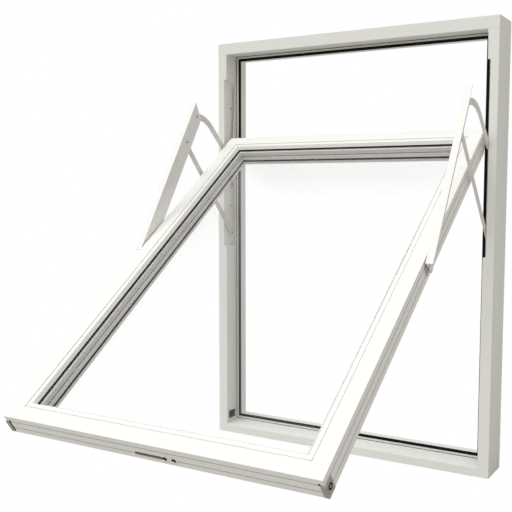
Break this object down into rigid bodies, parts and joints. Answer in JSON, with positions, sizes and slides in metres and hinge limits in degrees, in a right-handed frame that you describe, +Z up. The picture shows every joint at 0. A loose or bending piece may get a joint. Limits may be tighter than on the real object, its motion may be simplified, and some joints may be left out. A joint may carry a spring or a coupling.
{
  "type": "reversible pivot window",
  "caption": "Pivot window: a deep white frame and a triple glazed sash that folding side arms swing out at the bottom while its top slides down.",
  "frame": {"origin": "centre of the frame's underside", "axes": "+Z up, -Y towards the outside, +X to the right as seen from outside"},
  "size_m": [0.85, 1.0158, 1.2],
  "materials": {
    "frame_paint": "satin white coating",
    "sash_paint": "satin white coating",
    "bar_paint": "satin white coating",
    "gasket_rubber": "matt black",
    "window_glass": "clear",
    "spacer_metal": "satin",
    "zinc_steel": "zinc plated",
    "dark_steel": "dark zinc",
    "guide_plastic": "grey",
    "handle_metal": "satin white"
  },
  "bodies": {
    "frame": {"head_rail": "frame_paint", "sill_rail": "frame_paint", "head_stop": "frame_paint", "sill_stop": "frame_paint", "frame_gasket": "gasket_rubber", "keepers": "dark_steel", "jamb_left": "frame_paint", "jamb_right": "frame_paint", "stop_left": "frame_paint", "stop_right": "frame_paint", "pivot_plate_left": "zinc_steel", "pivot_plate_right": "zinc_steel", "guide_rail_left": "guide_plastic", "guide_rail_right": "guide_plastic"},
    "upper_arms": {"upper_arm_left": "bar_paint", "upper_arm_right": "bar_paint"},
    "lower_arms": {"lower_arm_left": "bar_paint", "lower_arm_right": "bar_paint"},
    "cover_bars": {"cover_bar_left": "bar_paint", "cover_bar_right": "bar_paint"},
    "sash": {"sash_top_rail": "sash_paint", "sash_bottom_rail": "sash_paint", "glazing_bead_top": "sash_paint", "glazing_bead_bottom": "sash_paint", "glass_outer": "window_glass", "glass_middle": "window_glass", "glass_inner": "window_glass", "spacer_outer": "spacer_metal", "spacer_inner": "spacer_metal", "glazing_gasket_outer": "gasket_rubber", "glazing_gasket_inner": "gasket_rubber", "lock_case": "dark_steel", "window_handle": "handle_metal", "sash_stile_left": "sash_paint", "sash_stile_right": "sash_paint", "glazing_bead_left": "sash_paint", "glazing_bead_right": "sash_paint", "corner_piece_left": "zinc_steel", "corner_piece_right": "zinc_steel", "guide_shoe_left": "zinc_steel", "guide_shoe_right": "zinc_steel", "bar_bracket_left": "dark_steel", "bar_bracket_right": "dark_steel"}
  },
  "joints": [
    {"name": "arm_swing", "type": "hinge", "parent": "frame", "child": "upper_arms", "pos_m": [0, -0.0215, 0.84928], "axis": [1, 0, 0], "range_deg": [-55, 0]},
    {"name": "bar_turn", "type": "hinge", "parent": "upper_arms", "child": "cover_bars", "pos_m": [0, -0.21824, 0.97055], "axis": [1, 0, 0], "range_deg": [0, 87.45]},
    {"name": "sash_turn", "type": "hinge", "parent": "cover_bars", "child": "sash", "pos_m": [0, -0.45694, 0.59498], "axis": [1, 0, 0], "range_deg": [0, 22.42]},
    {"name": "lower_arm_swing", "type": "hinge", "parent": "frame", "child": "lower_arms", "pos_m": [0, -0.02, 0.625], "axis": [1, 0, 0], "range_deg": [-40.1, 0]}
  ],
  "couplings": [
    {"joint": "bar_turn", "follows": "arm_swing", "ratio": -1.5898},
    {"joint": "sash_turn", "follows": "arm_swing", "ratio": -0.40745},
    {"joint": "lower_arm_swing", "follows": "arm_swing", "ratio": 0.72883}
  ]
}
